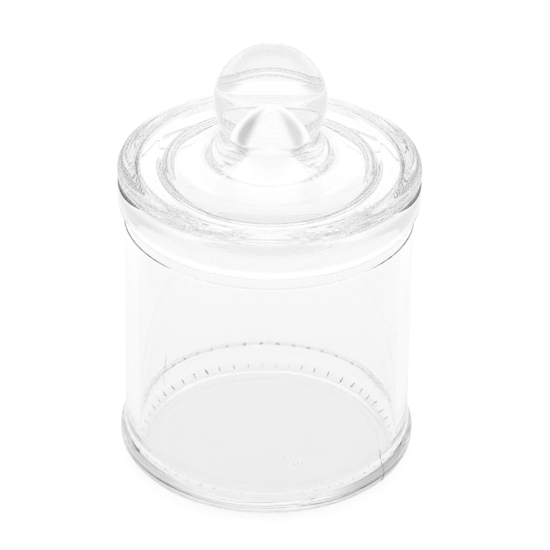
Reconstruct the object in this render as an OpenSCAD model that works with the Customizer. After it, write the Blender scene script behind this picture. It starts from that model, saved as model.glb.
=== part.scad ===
// Clear glass specimen jar: a straight jar with a rolled rim and a spread foot,
// a pressed glass lid with a ball knob, and a clear seal ring round the lid's plug.
// Millimetres, +Z up, origin at the centre of the ring that the jar stands on.
// Every piece is turned from a half section: x is the radius and y the height.
// Shapes that join in a section reach into each other, so that no crack is left between them.

/* [Jar] */
// Outside diameter of the straight wall
wall_d = 81.5; // [66:0.5:110]
// Thickness of the straight wall
wall_t = 3.4; // [2.6:0.1:5]
// Height of the rim's top face above the table
jar_h = 90.2; // [64:0.2:140]
// How far the foot stands out from the wall
foot_out = 1.5; // [0.8:0.1:2.6]
// Radius of the rounded heel of the foot
heel_r = 5.8; // [4.5:0.1:8]
// Radius of the hollow curve between the foot and the wall
foot_fillet = 7; // [2:0.1:9]
// Width of the flat ring that the jar stands on
bearing_w = 3.2; // [2:0.1:5]
// Height of the hollow under the base
punt_h = 2; // [1:0.1:3.5]
// Thickness of the glass over the standing ring
base_t = 2.4; // [1.8:0.1:5]
// Rise of the floor inside, from its edge to its middle
floor_rise = 2.6; // [1:0.1:5]
// Radius between the floor and the wall inside
inside_heel_r = 5; // [3:0.1:10]

/* [Rim] */
// How far the rim's bead stands out from the wall
bead_out = 2; // [1.2:0.1:3.5]
// Drop from the rim's top face to the height where the bead is fullest
bead_drop = 7; // [5:0.1:9]
// Radius of the bead's upper edge
bead_top_r = 4.2; // [2:0.1:4.6]
// Radius of the bead's underside
bead_under_r = 6.2; // [4:0.1:9]
// How much the mouth is narrower than the inside, on the radius
mouth_in = 0.6; // [0.2:0.1:1.5]
// Length of the mouth's straight bore
mouth_h = 12; // [8:0.5:20]
// Radius of the mouth's inner edge
mouth_edge_r = 0.8; // [0.4:0.1:1.4]

/* [Mould lines] */
// Drop from the rim's top face to the ring left by the neck mould
ring_drop = 14.5; // [12.5:0.1:20]
// Radius of the bead of that ring
ring_r = 0.4; // [0.2:0.05:0.8]
// How far the mould lines stand out from the glass
mould_out = 0.18; // [0.1:0.02:0.3]
// Width of each mould line up the foot, in degrees round the jar
mould_a = 0.6; // [0.3:0.1:1.5]
// Direction of the first of those lines
mould_at = -37; // [-180:1:180]
// How far those lines run up the wall above the foot
mould_up = 0.6; // [0.3:0.1:10]

/* [Foot grip] */
// Number of grooves pressed into the heel
grip_count = 54; // [24:2:72]
// Width across the round tool that leaves a groove
grip_w = 0.9; // [0.5:0.1:1.2]
// Depth of a groove
grip_depth = 0.25; // [0.1:0.05:0.4]
// Place of the grooves on the heel, in degrees below its widest point
grip_at = 60; // [50:1:65]

/* [Lid] */
// How far the lid's edge stands back from the rim's bead
flange_in = 0; // [0:0.1:1.5]
// Height of the flange's upright edge
edge_h = 0.9; // [0.8:0.1:3]
// Radius of the flange's upper edge
flange_r = 2.6; // [1.5:0.1:4]
// Radius of the flange's lower edge
flange_low_r = 0.8; // [0.4:0.1:0.9]
// Slope of the flange's top, in degrees
top_slope = 14.5; // [4:0.5:20]
// Width of the sloping ring outside the dome
flange_w = 11.7; // [9:0.1:14]
// Rise of the dome from its edge to the neck
dome_rise = 0.2; // [0.1:0.1:2]
// Radius of the neck's hollow flare
flare_r = 7.9; // [5:0.1:10]

/* [Knob] */
// Diameter of the ball
ball_d = 32; // [24:0.5:40]
// Drop from the ball's centre to the top of the neck
neck_drop = 8.1; // [5:0.1:10]
// Radius of the hollow core in the neck
core_r = 6.8; // [4.5:0.1:8]
// Drop from the ball's centre to the tip of the core
core_drop = 1.2; // [0:0.1:4]
// Radius of the core's tip
core_tip_r = 2.4; // [1.5:0.1:3.5]
// Length of the core's taper below the tip
core_taper = 6.5; // [4:0.1:8]
// Radius between the core and the lid's underside
core_flare_r = 8; // [2:0.1:9]

/* [Plug] */
// Depth of the plug below the flange
plug_depth = 5.4; // [5:0.1:10]
// Gap between plug and mouth, where the seal sits, on the radius
plug_gap = 1; // [0.8:0.1:2.2]
// Thickness of the plug's wall
plug_t = 5.8; // [3:0.1:7]
// Radius of the plug's lower edges
plug_edge_r = 0.7; // [0.3:0.1:1]
// Height of the hollow above the flange's underside
hollow_up = 0.2; // [0:0.1:2.5]
// Radius between the hollow's top and its side
hollow_r = 4.5; // [2:0.1:5]

/* [Seal] */
// Height of the seal ring
seal_h = 3.2; // [2.4:0.1:3.4]
// Thickness of the seal ring's sleeve
seal_t = 0.6; // [0.4:0.05:0.8]
// Depth of the groove that holds the seal
groove_depth = 0.3; // [0.2:0.05:0.9]
// Drop from the flange's underside to the seal ring
seal_drop = 1; // [0.8:0.1:1.2]
// Number of sealing fins
fin_count = 2; // [2:1:3]
// Thickness of a fin
fin_t = 0.6; // [0.4:0.05:0.9]
// Gap between the fins and the mouth, on the radius
fin_clear = 0.15; // [0.05:0.05:0.3]
// Gap between the seal ring and its groove
slip_clear = 0.08; // [0.04:0.02:0.1]

/* [Hidden] */
$fn = 96;
// How far a cut runs past the face that it opens
cut = 1;
// How far curves that run into each other overlap, so that they share one clean edge
nip = 0.005;

wall_r = wall_d / 2;
inner_r = wall_r - wall_t;

// The foot: the heel's centre, the centre of the hollow curve that runs into the wall at the foot's
// upper end, and the standing ring inside the heel
heel_c = wall_r + foot_out - heel_r;
fillet_c = wall_r + foot_fillet;
fillet_reach = heel_r + foot_fillet - nip;
foot_z = heel_r + sqrt(fillet_reach * fillet_reach - (fillet_c - heel_c) * (fillet_c - heel_c));
bearing_in = heel_c - bearing_w;
punt_r = (bearing_in * bearing_in + punt_h * punt_h) / (2 * punt_h);

// The floor: a low dome, and the heel inside that runs smoothly into it and into the wall
floor_edge = inner_r - inside_heel_r;
floor_r = (floor_edge * floor_edge + floor_rise * floor_rise) / (2 * floor_rise);
floor_c = base_t + floor_rise - floor_r;
floor_join = floor_edge * floor_r / (floor_r + inside_heel_r);
floor_reach = floor_r + inside_heel_r - nip;
inside_heel_z = floor_c + sqrt(floor_reach * floor_reach - floor_edge * floor_edge);

// The rim: the bead is upright between its two arcs
bead_r = wall_r + bead_out;
bead_z = jar_h - bead_drop;
mouth_r = inner_r - mouth_in;
mouth_z = jar_h - mouth_h;
ring_z = jar_h - ring_drop;

// The lid: its flange rests on the rim, its top slopes up to the dome, and the knob stands on the dome
lid_r = bead_r - flange_in;
edge_z = jar_h + edge_h;
slope_r = lid_r - flange_r + flange_r * sin(top_slope);
slope_z = edge_z + flange_r * cos(top_slope) - nip;
dome_r = lid_r - flange_w;
dome_edge_z = slope_z + (slope_r - dome_r) * tan(top_slope);
dome_z = dome_edge_z + dome_rise;
ball_r = ball_d / 2;
neck_r = sqrt(ball_r * ball_r - neck_drop * neck_drop);
neck_z = dome_z + flare_r;
ball_z = neck_z + neck_drop;

// The core: a round tip, and a taper that runs smoothly into the tip and into the straight side
core_tip_z = ball_z - core_drop - core_tip_r;
core_side_z = core_tip_z - core_taper;
core_reach = core_tip_r - nip;
core_step = core_r - core_reach;
core_arc_r = (core_r * core_r + core_taper * core_taper - core_reach * core_reach) / (2 * core_step);
core_join_z = core_tip_z + core_tip_r * core_taper / (core_arc_r - core_reach);

// The plug, and the seal that fills the gap round it
plug_r = mouth_r - plug_gap;
plug_in_r = plug_r - plug_t;
plug_z = jar_h - plug_depth;
hollow_z = jar_h + hollow_up;
groove_r = plug_r - groove_depth;
seal_z = jar_h - seal_drop - seal_h;
seal_in_r = groove_r + slip_clear;
fin_r = mouth_r - fin_clear;

glass = [0.86, 0.89, 0.89, 0.4];
soft_clear = [0.9, 0.91, 0.9, 0.6];

// A disc in the half section
module disc(r, at) {
    translate(at) circle(r);
}

// A rectangle from the axis out to r, between two heights
module slab(r, low, high) {
    translate([0, low]) square([r, high - low]);
}

// What is cut away to round the edge of a slab at its top, or at its bottom with up = -1
module edge_cut(r, at, up) {
    difference() {
        translate(at) mirror([0, up > 0 ? 0 : 1]) square(r + cut);
        disc(r, at);
    }
}

// Outline of the jar's outside, solid to the axis
module jar_outside() {
    slab(heel_c, 0, heel_r);
    disc(heel_r, [heel_c, heel_r]);
    difference() {
        polygon([[heel_c, heel_r], [fillet_c, foot_z], [wall_r, foot_z]]);
        disc(foot_fillet, [fillet_c, foot_z]);
    }
    difference() {
        union() {
            slab(wall_r, heel_r, jar_h);
            intersection() {
                disc(bead_under_r, [bead_r - bead_under_r, bead_z]);
                slab(bead_r, bead_z - bead_under_r, jar_h);
            }
            slab(bead_r, bead_z, jar_h);
        }
        edge_cut(bead_top_r, [bead_r - bead_top_r, jar_h - bead_top_r], 1);
    }
}

// What is hollow in the jar: its inside and mouth, and the punt under its base
module jar_hollow() {
    difference() {
        slab(floor_join, base_t, inside_heel_z + cut);
        disc(floor_r, [0, floor_c]);
    }
    disc(inside_heel_r, [floor_edge, inside_heel_z]);
    polygon([[0, inside_heel_z], [inner_r, inside_heel_z], [inner_r, mouth_z - mouth_in],
        [mouth_r, mouth_z], [0, mouth_z]]);
    slab(mouth_r, inside_heel_z + cut, jar_h + cut);
    difference() {
        slab(mouth_r + mouth_edge_r, jar_h - mouth_edge_r, jar_h + cut);
        disc(mouth_edge_r, [mouth_r + mouth_edge_r, jar_h - mouth_edge_r]);
    }
    intersection() {
        disc(punt_r, [0, punt_h - punt_r]);
        slab(bearing_in + cut, -cut, punt_h + cut);
    }
}

// The grooves pressed into the heel, even on both sides of the mould lines;
// the heel curves away from them at both ends
module grip_grooves() {
    for (i = [0 : grip_count - 1])
        rotate(mould_at + (i + 0.5) * 360 / grip_count)
            translate([heel_c, 0, heel_r])
                rotate([0, grip_at, 0])
                    translate([heel_r + grip_w / 2 - grip_depth, 0, 0])
                        cylinder(d = grip_w, h = heel_r, center = true);
}

// The line up the foot where the two halves of the mould met
module mould_line() {
    rotate(-mould_a / 2)
        rotate_extrude(angle = mould_a)
            difference() {
                intersection() {
                    translate([mould_out, 0]) jar_outside();
                    slab(bead_r, heel_r / 2, foot_z + mould_up);
                }
                slab(wall_r - wall_t / 2, 0, jar_h);
            }
}

module jar() {
    color(glass) {
        difference() {
            rotate_extrude() {
                difference() {
                    union() {
                        jar_outside();
                        disc(ring_r, [wall_r + mould_out - ring_r, ring_z]);
                    }
                    jar_hollow();
                }
            }
            grip_grooves();
        }
        for (side = [0, 180]) rotate(mould_at + side) mould_line();
    }
}

// Flange and plug of the lid, solid to the axis
module lid_plate() {
    difference() {
        union() {
            slab(lid_r, jar_h, edge_z);
            intersection() {
                disc(flange_r, [lid_r - flange_r, edge_z]);
                slab(lid_r, jar_h, edge_z + flange_r);
            }
            polygon([[0, jar_h], [lid_r - flange_r, jar_h], [slope_r, slope_z], [dome_r, dome_edge_z],
                [0, dome_edge_z]]);
        }
        edge_cut(flange_low_r, [lid_r - flange_low_r, jar_h + flange_low_r], -1);
    }
    difference() {
        slab(plug_r, plug_z, edge_z);
        edge_cut(plug_edge_r, [plug_r - plug_edge_r, plug_z + plug_edge_r], -1);
    }
}

// Dome, flared neck and ball, solid to the axis
module lid_knob() {
    polygon([[0, jar_h], [dome_r, jar_h], [dome_r, dome_edge_z], [neck_r + flare_r, dome_z], [0, dome_z]]);
    difference() {
        slab(neck_r + flare_r, edge_z, neck_z + nip);
        disc(flare_r, [neck_r + flare_r, neck_z]);
    }
    intersection() {
        disc(ball_r, [0, ball_z]);
        slab(ball_r, dome_z, ball_z + ball_r);
    }
}

// The hollow under the lid
module lid_hollow() {
    slab(plug_in_r, plug_z - cut, hollow_z - hollow_r);
    slab(plug_in_r - hollow_r, plug_z, hollow_z);
    disc(hollow_r, [plug_in_r - hollow_r, hollow_z - hollow_r]);
}

// The hollow core that runs up through the neck into the ball
module lid_core() {
    slab(core_r, plug_z, core_side_z);
    intersection() {
        disc(core_arc_r, [core_r - core_arc_r, core_side_z]);
        slab(core_r, plug_z, core_join_z);
    }
    intersection() {
        disc(core_tip_r, [0, core_tip_z]);
        slab(core_tip_r, plug_z, core_tip_z + core_tip_r);
    }
    difference() {
        slab(core_r + core_flare_r, plug_z, hollow_z + core_flare_r);
        disc(core_flare_r, [core_r + core_flare_r, hollow_z + core_flare_r]);
    }
}

// The groove round the plug that holds the seal ring
module seal_groove() {
    translate([groove_r, seal_z - slip_clear]) square([plug_gap + cut, seal_h + 2 * slip_clear]);
}

module lid() {
    color(glass)
        rotate_extrude() {
            difference() {
                union() {
                    lid_plate();
                    lid_knob();
                }
                lid_hollow();
                lid_core();
                seal_groove();
            }
        }
}

// Sleeve with a row of sealing fins
module seal_ring() {
    fin_pitch = (seal_h - fin_t) / (fin_count - 1);
    color(soft_clear)
        rotate_extrude() {
            translate([seal_in_r, seal_z]) square([seal_t, seal_h]);
            for (i = [0 : fin_count - 1])
                translate([seal_in_r, seal_z + i * fin_pitch]) square([fin_r - seal_in_r, fin_t]);
        }
}

jar();
lid();
seal_ring();
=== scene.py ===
import math

import bpy
from mathutils import Matrix, Vector, noise


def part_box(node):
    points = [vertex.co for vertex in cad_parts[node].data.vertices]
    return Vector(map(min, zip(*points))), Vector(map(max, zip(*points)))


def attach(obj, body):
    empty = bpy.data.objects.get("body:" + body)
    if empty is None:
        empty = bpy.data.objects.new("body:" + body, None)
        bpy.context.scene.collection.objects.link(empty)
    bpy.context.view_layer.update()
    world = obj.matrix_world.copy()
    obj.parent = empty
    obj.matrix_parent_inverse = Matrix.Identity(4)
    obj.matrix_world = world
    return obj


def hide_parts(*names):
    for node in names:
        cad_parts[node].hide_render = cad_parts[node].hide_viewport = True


# a clear glass jar with a ball-knob lid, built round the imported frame
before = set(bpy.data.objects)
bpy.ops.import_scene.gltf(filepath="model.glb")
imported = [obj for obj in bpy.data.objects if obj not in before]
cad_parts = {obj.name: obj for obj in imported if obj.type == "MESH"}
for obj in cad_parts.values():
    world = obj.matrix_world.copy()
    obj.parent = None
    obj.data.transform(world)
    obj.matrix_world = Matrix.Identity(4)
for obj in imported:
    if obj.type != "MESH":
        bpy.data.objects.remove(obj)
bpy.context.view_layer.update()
scene = bpy.context.scene
mm = 0.001
print("frame loaded:", ", ".join(sorted(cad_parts)))


# half sections: points are (radius, height) in millimetres

fineGap = 0.1  # spacing of a section's points before it is thinned out


def arcPoints(centre, radius, startDeg, endDeg, gap=0.12):
    sweep = math.radians(endDeg - startDeg)
    steps = max(6, int(abs(sweep) * radius / gap))
    turn = [math.radians(startDeg) + sweep * i / steps for i in range(steps + 1)]
    return [(centre[0] + radius * math.cos(a), centre[1] + radius * math.sin(a)) for a in turn]


def evenSteps(points):
    # the same line with points at an even spacing
    out = [points[0]]
    for a, b in zip(points, points[1:]):
        length = math.dist(a, b)
        steps = max(1, math.ceil(length / fineGap))
        out += [(a[0] + (b[0] - a[0]) * i / steps, a[1] + (b[1] - a[1]) * i / steps)
                for i in range(1, steps + 1) if length > 1e-9]
    return out


def firePolish(points, blur, closed=False):
    # rounds every crease a little, as a flame does, and leaves long curves as they are
    line = evenSteps(points)
    reach = math.ceil(3 * blur / fineGap)
    weights = [math.exp(-0.5 * (i * fineGap / blur) ** 2) for i in range(-reach, reach + 1)]
    total = sum(weights)
    count = len(line)
    if closed:
        padded = line[-reach:] + line + line[:reach]
    else:  # the line is mirrored across the axis at both ends
        before = [(-r, z) for r, z in line[reach:0:-1]]
        after = [(-r, z) for r, z in line[-2:-reach - 2:-1]]
        padded = before + line + after
    soft = []
    for i in range(count):
        near = padded[i:i + 2 * reach + 1]
        soft.append((sum(w * p[0] for w, p in zip(weights, near)) / total,
                     sum(w * p[1] for w, p in zip(weights, near)) / total))
    if not closed:
        soft[0] = (0.0, soft[0][1])
        soft[-1] = (0.0, soft[-1][1])
    return soft


def thinOut(points, longest, turnDeg=2.5, fine=None):
    # keeps a point where the line has turned enough, or has run far enough
    kept = [points[0]]
    turned = 0.0
    for before, here, after in zip(points, points[1:], points[2:]):
        a = math.atan2(here[1] - before[1], here[0] - before[0])
        b = math.atan2(after[1] - here[1], after[0] - here[0])
        turned += abs((b - a + math.pi) % (2 * math.pi) - math.pi)
        limit = fine(here) if fine else longest
        if turned > math.radians(turnDeg) or math.dist(kept[-1], here) > min(limit, longest):
            kept.append(here)
            turned = 0.0
    return kept + [points[-1]]


def spinSection(name, section, angles, detail=None, closed=False):
    # turns a half section about the jar's axis; detail may move each point a little
    verts, faces, rings = [], [], []
    for index, (r, z) in enumerate(section):
        if r < 1e-6:
            rings.append([len(verts)])
            verts.append((0.0, 0.0, z * mm))
            continue
        ring = []
        for angle in angles:
            radius, height = detail(r, z, angle, index) if detail else (r, z)
            ring.append(len(verts))
            verts.append((radius * math.cos(angle) * mm, radius * math.sin(angle) * mm, height * mm))
        rings.append(ring)
    pairs = list(zip(rings, rings[1:])) + ([(rings[-1], rings[0])] if closed else [])
    count = len(angles)
    for low, high in pairs:
        for i in range(count):
            j = (i + 1) % count
            if len(low) == 1:
                faces.append((low[0], high[j], high[i]))
            elif len(high) == 1:
                faces.append((low[i], low[j], high[0]))
            else:
                faces.append((low[i], low[j], high[j], high[i]))
    mesh = bpy.data.meshes.new(name)
    mesh.from_pydata(verts, [], faces)
    mesh.validate()
    mesh.shade_smooth()
    piece = bpy.data.objects.new(name, mesh)
    scene.collection.objects.link(piece)
    return piece


def evenAngles(count):
    return [2 * math.pi * i / count for i in range(count)]


def smoothStep(low, high, value):
    t = min(1.0, max(0.0, (value - low) / (high - low)))
    return t * t * (3 - 2 * t)


def place(piece, body, node, material):
    piece.data.materials.append(material)
    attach(piece, body)
    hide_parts(node)
    return piece


def boxRadius(node):
    # the radius that stays inside the node's box on all four sides, in millimetres
    low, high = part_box(node)
    return min(-low.x, -low.y, high.x, high.y) / mm


# finishes

def newMaterial(name):
    material = bpy.data.materials.new(name)
    material.use_nodes = True
    return material, material.node_tree.nodes, material.node_tree.links


def clearGlass(name, look):
    material, nodes, links = newMaterial(name)
    shader = nodes["Principled BSDF"]
    shader.inputs["Base Color"].default_value = (*look["tint"], 1)
    shader.inputs["IOR"].default_value = look["ior"]
    shader.inputs["Transmission Weight"].default_value = 1
    coords = nodes.new("ShaderNodeTexCoord")
    ripple = nodes.new("ShaderNodeTexNoise")  # slow unevenness of pressed glass
    ripple.inputs["Scale"].default_value = 1 / (look["rippleSize"] * mm)
    ripple.inputs["Detail"].default_value = look["rippleDetail"]
    bump = nodes.new("ShaderNodeBump")
    bump.inputs["Strength"].default_value = look["rippleStrength"]
    bump.inputs["Distance"].default_value = look["rippleHeight"] * mm
    links.new(coords.outputs["Object"], ripple.inputs["Vector"])
    links.new(ripple.outputs["Fac"], bump.inputs["Height"])
    links.new(bump.outputs["Normal"], shader.inputs["Normal"])
    smear = nodes.new("ShaderNodeTexNoise")  # faint handling marks in the gloss
    smear.inputs["Scale"].default_value = 1 / (look["smearSize"] * mm)
    smear.inputs["Detail"].default_value = look["smearDetail"]
    smear.inputs["Roughness"].default_value = look["smearGrain"]
    gloss = nodes.new("ShaderNodeMapRange")
    gloss.inputs["From Min"].default_value = look["smearFrom"]
    gloss.inputs["From Max"].default_value = look["smearFull"]
    gloss.inputs["To Min"].default_value = look["roughLow"]
    gloss.inputs["To Max"].default_value = look["roughHigh"]
    links.new(coords.outputs["Object"], smear.inputs["Vector"])
    links.new(smear.outputs["Fac"], gloss.inputs["Value"])
    links.new(gloss.outputs["Result"], shader.inputs["Roughness"])
    return material


# the jar

jarSpec = {
    "wallThickness": 3.4,
    "footOut": 1.5,
    "heelRadius": 5.8,
    "footFillet": 7.0,
    "bearingWidth": 3.2,
    "puntHeight": 2.0,
    "baseThickness": 2.4,
    "floorRise": 2.6,
    "insideHeel": 5.0,
    "beadOut": 2.0,
    "beadDrop": 7.0,       # from the rim down to where the bead is fullest
    "beadTop": 4.2,
    "beadUnder": 6.2,
    "mouthIn": 0.6,
    "mouthHeight": 12.0,
    "mouthEdge": 0.8,
    "ringDrop": 14.5,      # neck mould ring below the rim
    "ringRadius": 0.4,
    "mouldOut": 0.18,
    "mouldAt": -37.0,      # degrees
    "mouldWidth": 0.6,     # degrees
    "mouldUp": 0.6,        # how far the lines run on above the foot
    "gripCount": 54,
    "gripWidth": 0.9,
    "gripDepth": 0.25,
    "gripAt": 60.0,        # degrees down the heel
    "polish": 0.15,        # blur of the creases
    "waveHeight": 0.10,    # unevenness of the blown inside
    "waveSize": 16.0,
    "waveStretch": 0.6,    # the waves are longer up the wall
    "wallBand": 1.5,       # this near the wall the waves go sideways, elsewhere up and down
    "calmRadius": 6.0,     # the middle of the floor stays put
    "longStep": 2.5,       # longest step along the section
    "heelStep": 0.25,      # and on the heel's lower part, where the grooves are
    "heelTop": 2.2,
    "dotStep": 0.4,        # and where the dots are
    "dotBand": (11.0, 22.0),
    "dots": [((6.0, -13.5), 1.3, 0.35), ((9.0, -16.0), 1.7, 0.4)],  # cavity dots under the base
}
jarGlass = {
    "tint": (0.985, 0.987, 0.986),
    "ior": 1.52,
    "rippleSize": 14.0,
    "rippleHeight": 0.05,
    "rippleStrength": 0.3,
    "rippleDetail": 1.5,
    "smearSize": 9.0,
    "smearDetail": 5,
    "smearGrain": 0.65,
    "smearFrom": 0.45,     # marks show above this much of the noise
    "smearFull": 0.8,
    "roughLow": 0.0,
    "roughHigh": 0.02,
}


def jarSection(spec):
    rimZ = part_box("jar")[1].z / mm
    beadR = boxRadius("jar")
    wallR = beadR - spec["beadOut"]
    innerR = wallR - spec["wallThickness"]
    mouthR = innerR - spec["mouthIn"]
    heel = spec["heelRadius"]
    heelC = wallR + spec["footOut"] - heel
    standIn = heelC - spec["bearingWidth"]
    punt = spec["puntHeight"]
    puntR = (standIn ** 2 + punt ** 2) / (2 * punt)
    fillet = spec["footFillet"]
    reach = heel + fillet
    footZ = heel + math.sqrt(reach ** 2 - (wallR + fillet - heelC) ** 2)
    spread = math.degrees(math.acos((wallR + fillet - heelC) / reach))
    beadZ = rimZ - spec["beadDrop"]
    ringZ = rimZ - spec["ringDrop"]
    ringR = spec["ringRadius"]
    line = arcPoints((0, punt - puntR), puntR, 90, math.degrees(math.acos(standIn / puntR)))
    line += [(standIn, 0.0)]
    line += arcPoints((heelC, heel), heel, -90, spread)
    line += arcPoints((wallR + fillet, footZ), fillet, 180 + spread, 180)
    turn = math.degrees(math.acos((ringR - spec["mouldOut"]) / ringR))
    line += arcPoints((wallR + spec["mouldOut"] - ringR, ringZ), ringR, -turn, turn, gap=0.05)
    under = spec["beadUnder"]
    underC = beadR - under
    line += arcPoints((underC, beadZ), under, -math.degrees(math.acos((wallR - underC) / under)), 0)
    line += arcPoints((beadR - spec["beadTop"], rimZ - spec["beadTop"]), spec["beadTop"], 0, 90)
    edge = spec["mouthEdge"]
    line += arcPoints((mouthR + edge, rimZ - edge), edge, 90, 180, gap=0.06)
    mouthZ = rimZ - spec["mouthHeight"]
    line += [(mouthR, mouthZ), (innerR, mouthZ - spec["mouthIn"])]
    inside = spec["insideHeel"]
    floorEdge = innerR - inside
    rise = spec["floorRise"]
    floorR = (floorEdge ** 2 + rise ** 2) / (2 * rise)
    floorC = spec["baseThickness"] + rise - floorR
    lean = math.degrees(math.acos(floorEdge / (floorR + inside)))
    insideZ = floorC + math.sqrt((floorR + inside) ** 2 - floorEdge ** 2)
    line += arcPoints((floorEdge, insideZ), inside, 0, lean - 180)
    line += arcPoints((0, floorC), floorR, lean, 90)
    sizes = {"rimZ": rimZ, "innerR": innerR, "mouthR": mouthR}
    sizes |= {"heelC": heelC, "standIn": standIn, "footZ": footZ}
    return line, sizes


def jarAngles(spec):
    # columns gather at the grooves and at the two mould lines, and those that fall together are dropped
    pitch = 2 * math.pi / spec["gripCount"]
    half = math.asin(spec["gripWidth"] / 2 / jarSizes["heelC"])
    grooveSteps = (-1.15, -0.85, -0.55, -0.25, 0, 0.25, 0.55, 0.85, 1.15)  # in half widths of a groove
    lineSteps = (-0.7, -0.45, -0.2, 0, 0.2, 0.45, 0.7)  # in widths of a mould line
    offsets = [half * k for k in grooveSteps]
    gap = pitch - offsets[-1] + offsets[0]
    offsets += [offsets[-1] + gap * k / 5 for k in (1, 2, 3, 4)]
    start = math.radians(spec["mouldAt"]) + pitch / 2
    angles = [start + i * pitch + o for i in range(spec["gripCount"]) for o in offsets]
    line = math.radians(spec["mouldWidth"])
    for side in (0, 180):
        middle = math.radians(spec["mouldAt"] + side)
        angles += [middle + line * k for k in lineSteps]
    angles = sorted(a % (2 * math.pi) for a in angles)
    return [a for a, b in zip(angles, angles[1:] + [angles[0] + 2 * math.pi]) if b - a > 1e-4]


def jarDetail(r, z, angle, index):
    spec, sizes = jarSpec, jarSizes
    inside = index > jarTurn
    x, y = r * math.cos(angle), r * math.sin(angle)
    if inside:
        if z < sizes["rimZ"] - spec["mouthHeight"]:
            point = Vector((x, y, spec["waveStretch"] * z)) / spec["waveSize"]
            wave = noise.noise(point) * spec["waveHeight"]
            if r > sizes["innerR"] - spec["wallBand"]:
                r += wave
            else:
                z += wave * smoothStep(0, spec["calmRadius"], r)
        return r, z
    pitch = 2 * math.pi / spec["gripCount"]
    across = (angle - math.radians(spec["mouldAt"])) % pitch - pitch / 2
    heelC, heel, half = sizes["heelC"], spec["heelRadius"], spec["gripWidth"] / 2
    sideways = abs(r * math.sin(across))
    if r > heelC and z < heel and sideways < half:
        down = math.radians(spec["gripAt"])
        out = (r - heelC) * math.cos(down) + (heel - z) * math.sin(down)
        along = (r - heelC) * math.sin(down) - (heel - z) * math.cos(down)
        bottom = heel + half - spec["gripDepth"] - math.sqrt(half ** 2 - sideways ** 2)
        if out > bottom:
            r = heelC + bottom * math.cos(down) + along * math.sin(down)
            z = heel - bottom * math.sin(down) + along * math.cos(down)
    if r < sizes["standIn"]:
        for (dotX, dotY), size, height in spec["dots"]:
            away = math.hypot(x - dotX, y - dotY) / size
            if away < 1:
                z += height * (1 - away ** 2) ** 2
    if spec["heelRadius"] / 2 < z < sizes["footZ"] + spec["mouldUp"]:
        for side in (0, 180):
            off = (angle - math.radians(spec["mouldAt"] + side) + math.pi) % (2 * math.pi) - math.pi
            ridge = 1 - abs(off) / math.radians(spec["mouldWidth"] / 2)
            if ridge > 0:
                r += spec["mouldOut"] * ridge
    return r, z


def jarFine(point):
    # how close the section's points lie: closer at the grooves and the dots
    r, z = point
    dotIn, dotOut = jarSpec["dotBand"]
    if z < jarSpec["heelTop"] and r > jarSizes["heelC"]:
        return jarSpec["heelStep"]
    if z < jarSpec["puntHeight"] and dotIn < r < dotOut:
        return jarSpec["dotStep"]
    return jarSpec["longStep"]


jarLine, jarSizes = jarSection(jarSpec)
jarOutline = thinOut(firePolish(jarLine, jarSpec["polish"]), jarSpec["longStep"], fine=jarFine)
jarTurn = max(range(len(jarOutline)), key=lambda i: jarOutline[i][1])
jar = spinSection("jar_glass_body", jarOutline, jarAngles(jarSpec), jarDetail)
place(jar, "jar", "jar", clearGlass("jarGlass", jarGlass))
print("jar made:", len(jar.data.vertices), "points")


# the lid

lidSpec = {
    "edgeHeight": 0.9,
    "flangeRound": 2.6,
    "flangeLow": 0.8,
    "topSlope": 14.5,      # degrees
    "flangeWidth": 11.7,
    "domeRise": 0.2,
    "flare": 7.9,
    "ball": 32.0,
    "neckDrop": 8.1,
    "plugGap": 1.0,
    "plugThickness": 5.8,
    "plugEdge": 0.7,
    "hollowUp": 0.2,
    "hollowRound": 4.5,
    "core": 6.8,           # radius of the hollow that runs up into the ball
    "coreDrop": 1.2,       # its tip below the ball's centre
    "coreTip": 2.4,
    "coreTaper": 6.5,
    "coreFlare": 8.0,
    "grooveDepth": 0.3,
    "sealDrop": 1.0,
    "sealHeight": 3.2,
    "slip": 0.08,          # between the seal ring and its groove
    "airGap": 0.05,        # between lid and rim
    "polish": 0.25,
    "columns": 384,
    "longStep": 1.2,       # longest step along the section
    "waveHeight": 0.05,    # unevenness of the pressed underside
    "waveSize": 9.0,
    "waveFrom": 13.0,      # it starts outside the core
    "waveFull": 18.0,
    "waveEdge": 0.5,       # plain strip beside the plug
    "waveRise": 1.0,       # how far above the underside it reaches
}
lidGlass = dict(jarGlass, rippleSize=11.0, rippleHeight=0.06)


def coreSection(spec, ballZ, hollowZ):
    # from the tip in the ball down to the lid's underside
    core, tip, taper, flare = spec["core"], spec["coreTip"], spec["coreTaper"], spec["coreFlare"]
    tipZ = ballZ - spec["coreDrop"] - tip
    sideZ = tipZ - taper
    arc = (core ** 2 + taper ** 2 - tip ** 2) / (2 * (core - tip))
    lean = math.degrees(math.asin(taper / (arc - tip)))
    line = arcPoints((0, tipZ), tip, 90, lean, gap=0.08)
    line += arcPoints((core - arc, sideZ), arc, lean, 0)
    return line + arcPoints((core + flare, hollowZ + flare), flare, 180, 270)


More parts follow.
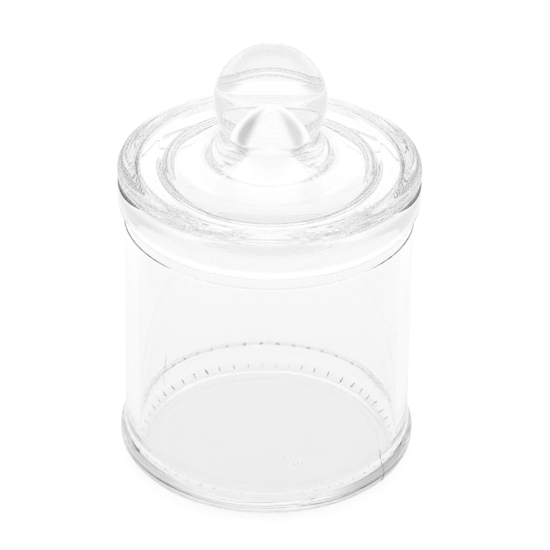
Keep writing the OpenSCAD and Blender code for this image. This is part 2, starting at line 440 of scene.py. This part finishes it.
def lidSection(spec):
    rimZ = jarSizes["rimZ"]
    lidR = boxRadius("lid")
    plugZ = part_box("lid")[0].z / mm
    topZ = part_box("lid")[1].z / mm
    plugR = jarSizes["mouthR"] - spec["plugGap"]
    plugIn = plugR - spec["plugThickness"]
    hollowZ = rimZ + spec["hollowUp"]
    hollow = spec["hollowRound"]
    edgeZ = rimZ + spec["edgeHeight"]
    low = rimZ + spec["airGap"]
    ballR = spec["ball"] / 2
    ballZ = topZ - ballR
    line = coreSection(spec, ballZ, hollowZ)
    line += arcPoints((plugIn - hollow, hollowZ - hollow), hollow, 90, 0)
    line += [(plugIn, plugZ)]
    edge = spec["plugEdge"]
    line += arcPoints((plugR - edge, plugZ + edge), edge, -90, 0, gap=0.06)
    grooveR = plugR - spec["grooveDepth"]
    sealZ = rimZ - spec["sealDrop"] - spec["sealHeight"] - spec["slip"]
    sealTop = rimZ - spec["sealDrop"] + spec["slip"]
    line += [(plugR, sealZ), (grooveR, sealZ), (grooveR, sealTop), (plugR, sealTop), (plugR, low)]
    lower = spec["flangeLow"]
    line += arcPoints((lidR - lower, low + lower), lower, -90, 0, gap=0.06)
    upper = spec["flangeRound"]
    slope = math.radians(spec["topSlope"])
    line += arcPoints((lidR - upper, edgeZ), upper, 0, 90 - spec["topSlope"])
    domeR = lidR - spec["flangeWidth"]
    domeEdge = line[-1][1] + (line[-1][0] - domeR) * math.tan(slope)
    domeZ = domeEdge + spec["domeRise"]
    neckR = math.sqrt(ballR ** 2 - spec["neckDrop"] ** 2)
    flare = spec["flare"]
    line += [(domeR, domeEdge)]
    line += arcPoints((neckR + flare, domeZ + flare), flare, 270, 180)
    line += arcPoints((0, ballZ), ballR, -math.degrees(math.asin(spec["neckDrop"] / ballR)), 90)
    sizes = {"hollowZ": hollowZ, "plugIn": plugIn, "grooveR": grooveR, "sealZ": sealZ + spec["slip"]}
    return line, sizes


def lidDetail(r, z, angle, index):
    spec, sizes = lidSpec, lidSizes
    if r < sizes["plugIn"] - spec["waveEdge"] and z < sizes["hollowZ"] + spec["waveRise"]:
        point = Vector((r * math.cos(angle), r * math.sin(angle), 0)) / spec["waveSize"]
        z += noise.noise(point) * spec["waveHeight"] * smoothStep(spec["waveFrom"], spec["waveFull"], r)
    return r, z


lidLine, lidSizes = lidSection(lidSpec)
lidOutline = thinOut(firePolish(lidLine, lidSpec["polish"]), lidSpec["longStep"])
lid = spinSection("lid_glass_body", lidOutline, evenAngles(lidSpec["columns"]), lidDetail)
place(lid, "lid", "lid", clearGlass("lidGlass", lidGlass))
print("lid made:", len(lid.data.vertices), "points")


# the seal ring in the plug's groove

sealSpec = {
    "sleeve": 0.6,
    "fins": 2,
    "finThickness": 0.6,
    "finGap": 0.15,        # between the fins and the mouth
    "polish": 0.12,
    "longStep": 1.0,
    "turnStep": 8,         # degrees
    "columns": 288,
}
sealVinyl = {
    "tint": (0.96, 0.965, 0.96),
    "ior": 1.53,
    "clear": 0.92,
    "hazeScale": 700,      # per metre
    "roughLow": 0.12,
    "roughHigh": 0.3,
}


def sealSection(spec):
    low = lidSizes["sealZ"]
    height = lidSpec["sealHeight"]
    inR = lidSizes["grooveR"] + lidSpec["slip"]
    outR = inR + spec["sleeve"]
    finR = jarSizes["mouthR"] - spec["finGap"]
    pitch = (height - spec["finThickness"]) / (spec["fins"] - 1)
    line = [(inR, low)]
    for i in range(spec["fins"]):
        finLow = low + i * pitch
        finHigh = finLow + spec["finThickness"]
        line += [(outR, finLow), (finR, finLow), (finR, finHigh), (outR, finHigh)]
    return line + [(inR, low + height)]


def clearVinyl(name, look):
    material, nodes, links = newMaterial(name)
    shader = nodes["Principled BSDF"]
    shader.inputs["Base Color"].default_value = (*look["tint"], 1)
    shader.inputs["IOR"].default_value = look["ior"]
    shader.inputs["Transmission Weight"].default_value = look["clear"]
    coords = nodes.new("ShaderNodeTexCoord")
    haze = nodes.new("ShaderNodeTexNoise")
    haze.inputs["Scale"].default_value = look["hazeScale"]
    gloss = nodes.new("ShaderNodeMapRange")
    gloss.inputs["To Min"].default_value = look["roughLow"]
    gloss.inputs["To Max"].default_value = look["roughHigh"]
    links.new(coords.outputs["Object"], haze.inputs["Vector"])
    links.new(haze.outputs["Fac"], gloss.inputs["Value"])
    links.new(gloss.outputs["Result"], shader.inputs["Roughness"])
    return material


sealLine = firePolish(sealSection(sealSpec), sealSpec["polish"], closed=True)
sealOutline = thinOut(sealLine, sealSpec["longStep"], turnDeg=sealSpec["turnStep"])
seal = spinSection("seal_ring_soft", sealOutline, evenAngles(sealSpec["columns"]), closed=True)
place(seal, "seal", "seal_ring", clearVinyl("clearVinyl", sealVinyl))
print("seal ring made:", len(seal.data.vertices), "points")


# table, studio and camera

studioSpec = {
    "floorSize": 6.0,      # metres
    "floorDrop": 0.0002,   # metres below the standing ring
    "floorRough": 0.9,
    "floorGrey": 0.2,
    "floorGlow": 0.86,     # what the camera and the glass see of the lit table
    "poolIn": 0.11,        # the painted pool of light on the table fades between these distances to the sides, in metres
    "poolOut": 0.2,
    "poolEdge": 0.62,
    "shade": 0.91,         # painted soft shade of the jar on the table, as its own glass sees it
    "shadeIn": 0.1,        # metres from the jar's axis
    "shadeOut": 0.18,
    "left": 0.57,          # greys of the room on both sides of the white wall behind
    "right": 0.72,
    "wallIn": 0.3,         # sideways reach of the white wall, and where the greys are full
    "wallOut": 0.55,
    "low": 0.25,           # heights between which the sides are grey
    "high": 0.75,
    "fade": 0.12,
    "frontOut": 0.0,       # the sides turn white towards the camera
    "frontIn": 0.3,
    "bounces": 48,         # light passes many faces of the glass
    "glossyBounces": 24,
}


def mathNode(nodes, links, operation, first, second=None):
    node = nodes.new("ShaderNodeMath")
    node.operation = operation
    links.new(first, node.inputs[0])
    if second is not None:
        links.new(second, node.inputs[1])
    return node.outputs[0]


def softFade(nodes, links, value, start, end, near, far):
    node = nodes.new("ShaderNodeMapRange")
    node.interpolation_type = "SMOOTHSTEP"
    for socket, amount in (("From Min", start), ("From Max", end), ("To Min", near), ("To Max", far)):
        node.inputs[socket].default_value = amount
    links.new(value, node.inputs["Value"])
    return node.outputs["Result"]


def tableFinish(spec):
    material, nodes, links = newMaterial("paleFloor")
    shader = nodes["Principled BSDF"]
    shader.inputs["Roughness"].default_value = spec["floorRough"]
    shader.inputs["Specular IOR Level"].default_value = 0
    grey = spec["floorGrey"]
    shader.inputs["Base Color"].default_value = (grey, grey, grey, 1)
    shader.inputs["Emission Color"].default_value = (1, 1, 1, 1)
    rays = nodes.new("ShaderNodeLightPath").outputs
    coords = nodes.new("ShaderNodeTexCoord")
    reach = nodes.new("ShaderNodeVectorMath")
    reach.operation = "LENGTH"
    links.new(coords.outputs["Object"], reach.inputs[0])
    split = nodes.new("ShaderNodeSeparateXYZ")
    links.new(coords.outputs["Object"], split.inputs[0])
    through = mathNode(nodes, links, "MAXIMUM", rays["Is Glossy Ray"], rays["Is Transmission Ray"])
    away = reach.outputs["Value"]
    # painted shade: near the jar the table's glow is lowered for rays through the glass, while the camera
    # still sees the table white
    shade = softFade(nodes, links, away, spec["shadeIn"], spec["shadeOut"], spec["shade"], 1)
    shaded = mathNode(nodes, links, "MULTIPLY", through, shade)
    seen = mathNode(nodes, links, "MAXIMUM", rays["Is Camera Ray"], shaded)
    aside = mathNode(nodes, links, "ABSOLUTE", split.outputs["X"])
    # painted pool of light: the table's glow fades from its middle towards the sides, for the camera too
    pool = softFade(nodes, links, aside, spec["poolIn"], spec["poolOut"], spec["floorGlow"], spec["poolEdge"])
    links.new(mathNode(nodes, links, "MULTIPLY", seen, pool), shader.inputs["Emission Strength"])
    return material


def paleFloor(spec):
    mesh = bpy.data.meshes.new("floor")
    half = spec["floorSize"] / 2
    corners = [(-half, -half, 0), (half, -half, 0), (half, half, 0), (-half, half, 0)]
    mesh.from_pydata(corners, [], [(0, 1, 2, 3)])
    mesh.materials.append(tableFinish(spec))
    floor = bpy.data.objects.new("floor", mesh)
    scene.collection.objects.link(floor)
    floor.location.z = -spec["floorDrop"]


def greyRamp(nodes, links, value, stops):
    # greys along a direction, where the stops run from -1 to 1
    share = nodes.new("ShaderNodeMapRange")
    share.inputs["From Min"].default_value = -1
    links.new(value, share.inputs["Value"])
    node = nodes.new("ShaderNodeValToRGB")
    links.new(share.outputs["Result"], node.inputs["Fac"])
    ramp = node.color_ramp
    while len(ramp.elements) < len(stops):
        ramp.elements.new(0.5)
    for element, (where, grey) in zip(ramp.elements, stops):
        element.position = (1 + where) / 2
        element.color = (grey, grey, grey, 1)
    return node.outputs["Color"]


def studioWorld(spec):
    world = bpy.data.worlds.new("studio")
    world.use_nodes = True
    scene.world = world
    nodes, links = world.node_tree.nodes, world.node_tree.links
    coords = nodes.new("ShaderNodeTexCoord")
    split = nodes.new("ShaderNodeSeparateXYZ")
    links.new(coords.outputs["Generated"], split.inputs[0])
    wallIn, wallOut = spec["wallIn"], spec["wallOut"]
    sides = greyRamp(nodes, links, split.outputs["X"], [
        (-wallOut, spec["left"]), (-wallIn, 1), (wallIn, 1), (wallOut, spec["right"])])
    low, high, fade = spec["low"], spec["high"], spec["fade"]
    band = greyRamp(nodes, links, split.outputs["Z"], [
        (low, 0), (low + fade, 1), (high, 1), (high + fade, 0)])
    behind = greyRamp(nodes, links, split.outputs["Y"], [(spec["frontOut"], 0), (spec["frontIn"], 1)])
    share = mathNode(nodes, links, "MULTIPLY", band, behind)
    room = nodes.new("ShaderNodeMix")
    room.data_type = "RGBA"
    white, grey = room.inputs[6], room.inputs[7]
    white.default_value = (1, 1, 1, 1)
    links.new(share, room.inputs["Factor"])
    links.new(sides, grey)
    links.new(room.outputs[2], nodes["Background"].inputs["Color"])


paleFloor(studioSpec)
studioWorld(studioSpec)
print("studio made")

cameraSpec = {
    "elevation": 31.2,     # degrees above the table
    "distance": 1127.0,    # from the aim point
    "aim": (1.9, 0.0, 55.8),
    "lens": 259.7,
    "sensor": 36.0,
    "clip": (0.01, 50.0),  # metres
    "roll": 0.82,          # degrees
}


def photoCamera(spec):
    data = bpy.data.cameras.new("photoCamera")
    data.lens = spec["lens"]
    data.sensor_width = spec["sensor"]
    data.clip_start, data.clip_end = spec["clip"]
    camera = bpy.data.objects.new("photoCamera", data)
    scene.collection.objects.link(camera)
    rise = math.radians(spec["elevation"])
    back = Vector((0, -math.cos(rise), math.sin(rise)))
    aim = Vector(spec["aim"]) * mm
    look = (-back).to_track_quat("-Z", "Y").to_matrix().to_4x4()
    roll = Matrix.Rotation(math.radians(spec["roll"]), 4, "Z")
    camera.matrix_world = Matrix.Translation(aim + back * spec["distance"] * mm) @ look @ roll
    scene.camera = camera


photoCamera(cameraSpec)
scene.view_settings.view_transform = "Standard"
scene.cycles.max_bounces = studioSpec["bounces"]
scene.cycles.transmission_bounces = studioSpec["bounces"]
scene.cycles.glossy_bounces = studioSpec["glossyBounces"]
scene.cycles.transparent_max_bounces = studioSpec["bounces"]
print("camera set")
